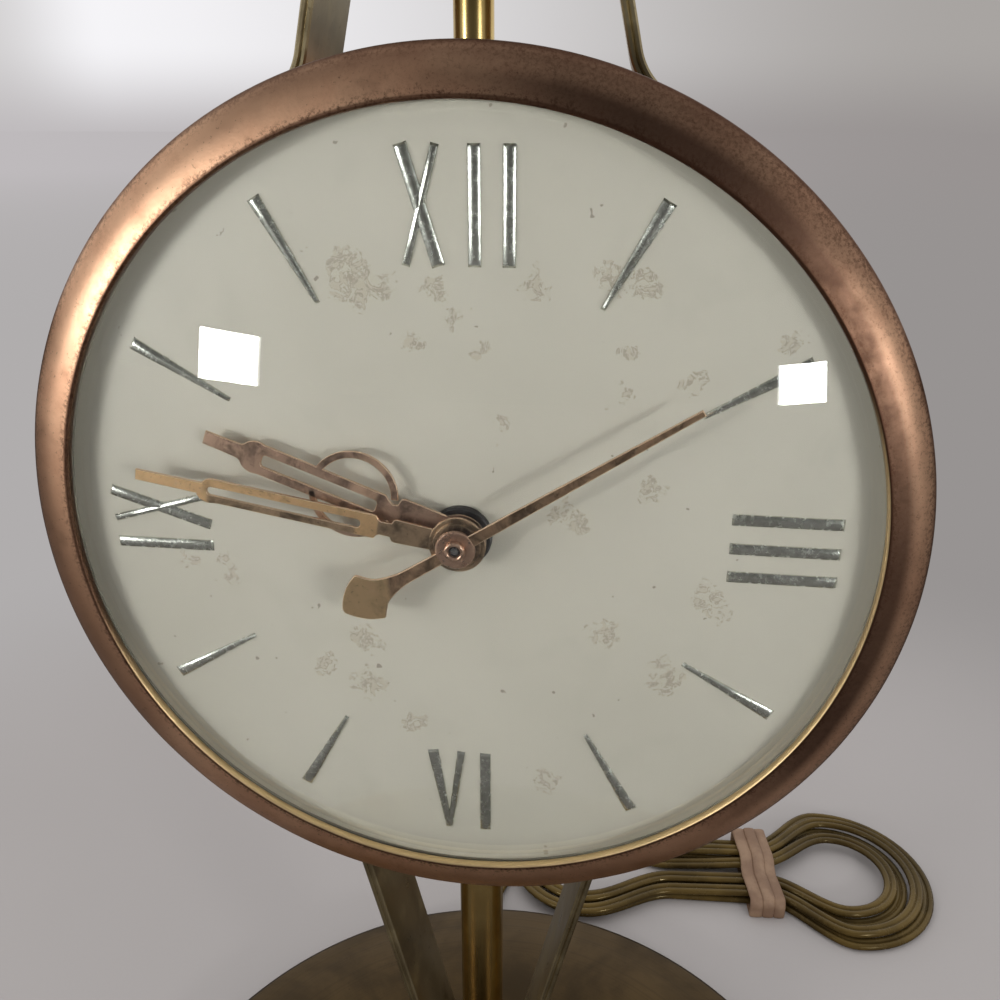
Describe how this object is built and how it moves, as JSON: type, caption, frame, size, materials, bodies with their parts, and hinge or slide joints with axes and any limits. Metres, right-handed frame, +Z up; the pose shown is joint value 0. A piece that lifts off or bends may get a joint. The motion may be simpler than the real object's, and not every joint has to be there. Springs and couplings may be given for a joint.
{
  "type": "scales of justice clock",
  "caption": "Brass scales of justice clock with a round electric dial in a lyre of straps, a balance beam with two hanging pans and a mains lead tied in a hank.",
  "frame": {"origin": "centre of the base's underside, on the column's axis", "axes": "+Z up, +X to the right as seen from the front, +Y away from the dial; the dial faces -Y"},
  "size_m": [0.392, 0.3086, 0.4283],
  "materials": {
    "brass": "aged, lightly polished",
    "dark_brass": "aged, dark in the corners",
    "copper": "aged copper plate, worn",
    "steel": "satin",
    "marks": "bright embossed",
    "dial": "stained ivory lacquer",
    "glass": "clear, domed",
    "iron": "rough",
    "felt": "felt",
    "black": "moulded",
    "coil": "varnished winding",
    "hand_dark": "oxidised copper",
    "hand_gold": "bright gold",
    "cord": "brown insulation",
    "band": "matt",
    "plug": "moulded"
  },
  "bodies": {
    "stand": {"base_felt": "felt", "base_dish": "brass", "base_weight": "iron", "foot_hub": "brass", "lower_column": "dark_brass", "lower_tie_rod": "steel", "upper_column": "brass", "upper_tie_rod": "steel", "rod_nuts": "steel", "top_hub": "brass", "left_strap": "brass", "right_strap": "brass", "strap_screws": "dark_brass", "case_drum": "copper", "bezel": "copper", "glass": "glass", "dial_ring": "dark_brass", "dial": "dial", "hour_marks": "marks", "mount_brackets": "steel", "rear_cover": "copper", "small_screws": "steel", "front_plate": "brass", "back_plate": "brass", "pillars": "brass", "dial_nut": "black", "stator_core": "iron", "stator_coil": "coil", "coil_leads": "cord", "rotor_unit": "brass", "fulcrum": "brass", "beam_pin": "steel", "finial": "brass", "strain_relief": "black", "cord_drop": "cord", "cord_hank": "cord", "cord_band": "band", "plug": "plug"},
    "motor": {"motor_pinion": "steel"},
    "seconds": {"seconds_arbor": "steel", "seconds_wheel": "brass", "second_hand": "hand_dark"},
    "third": {"third_wheel": "brass"},
    "centre": {"centre_wheel": "brass"},
    "minutes": {"cannon_pinion": "steel", "minute_hand": "hand_gold"},
    "hours": {"hour_wheel": "brass", "hour_hand": "hand_dark"},
    "setting": {"setting_shaft": "steel", "minute_wheel": "brass", "setting_knob": "black"},
    "balance": {"beam": "brass"},
    "left_ring": {"left_link": "brass"},
    "right_ring": {"right_link": "brass"},
    "left_hanger": {"left_hook": "brass"},
    "right_hanger": {"right_hook": "brass"},
    "left_scale": {"left_chains": "brass", "left_pan": "copper"},
    "right_scale": {"right_chains": "brass", "right_pan": "copper"}
  },
  "joints": [
    {"name": "second_spin", "type": "hinge", "parent": "stand", "child": "seconds", "pos_m": [0, -0.018, 0.212], "axis": [0, 1, 0], "continuous": true},
    {"name": "motor_spin", "type": "hinge", "parent": "stand", "child": "motor", "pos_m": [0, -0.018, 0.2015], "axis": [0, 1, 0], "continuous": true},
    {"name": "third_spin", "type": "hinge", "parent": "stand", "child": "third", "pos_m": [-0.01178, -0.018, 0.2188], "axis": [0, 1, 0], "continuous": true},
    {"name": "centre_spin", "type": "hinge", "parent": "stand", "child": "centre", "pos_m": [0, -0.018, 0.212], "axis": [0, 1, 0], "continuous": true},
    {"name": "setting_turn", "type": "hinge", "parent": "stand", "child": "setting", "pos_m": [0.01247, -0.018, 0.2192], "axis": [0, 1, 0], "continuous": true},
    {"name": "minute_turn", "type": "hinge", "parent": "stand", "child": "minutes", "pos_m": [0, -0.018, 0.212], "axis": [0, 1, 0], "continuous": true},
    {"name": "hour_turn", "type": "hinge", "parent": "stand", "child": "hours", "pos_m": [0, -0.018, 0.212], "axis": [0, 1, 0], "continuous": true},
    {"name": "beam_rock", "type": "hinge", "parent": "stand", "child": "balance", "pos_m": [0, 0, 0.39209], "axis": [0, 1, 0], "range_deg": [-8, 8]},
    {"name": "left_ring_swing", "type": "hinge", "parent": "balance", "child": "left_ring", "pos_m": [-0.1525, 0, 0.38709], "axis": [0, 1, 0], "range_deg": [-8, 8]},
    {"name": "right_ring_swing", "type": "hinge", "parent": "balance", "child": "right_ring", "pos_m": [0.1525, 0, 0.38709], "axis": [0, 1, 0], "range_deg": [-8, 8]},
    {"name": "left_hanger_swing", "type": "hinge", "parent": "left_ring", "child": "left_hanger", "pos_m": [-0.1525, 0, 0.37823], "axis": [0, 1, 0], "range_deg": [-8, 25]},
    {"name": "right_hanger_swing", "type": "hinge", "parent": "right_ring", "child": "right_hanger", "pos_m": [0.1525, 0, 0.37823], "axis": [0, 1, 0], "range_deg": [-25, 8]},
    {"name": "left_pan_swing", "type": "hinge", "parent": "left_hanger", "child": "left_scale", "pos_m": [-0.1525, 0, 0.37148], "axis": [1, 0, 0], "range_deg": [-20, 20]},
    {"name": "right_pan_swing", "type": "hinge", "parent": "right_hanger", "child": "right_scale", "pos_m": [0.1525, 0, 0.37148], "axis": [1, 0, 0], "range_deg": [-20, 20]}
  ],
  "couplings": [
    {"joint": "motor_spin", "follows": "second_spin", "ratio": -6},
    {"joint": "third_spin", "follows": "second_spin", "ratio": -0.13333},
    {"joint": "centre_spin", "follows": "second_spin", "ratio": 0.016667},
    {"joint": "minute_turn", "follows": "setting_turn", "ratio": -3},
    {"joint": "hour_turn", "follows": "setting_turn", "ratio": -0.25},
    {"joint": "left_ring_swing", "follows": "beam_rock", "ratio": -1},
    {"joint": "right_ring_swing", "follows": "beam_rock", "ratio": -1}
  ]
}
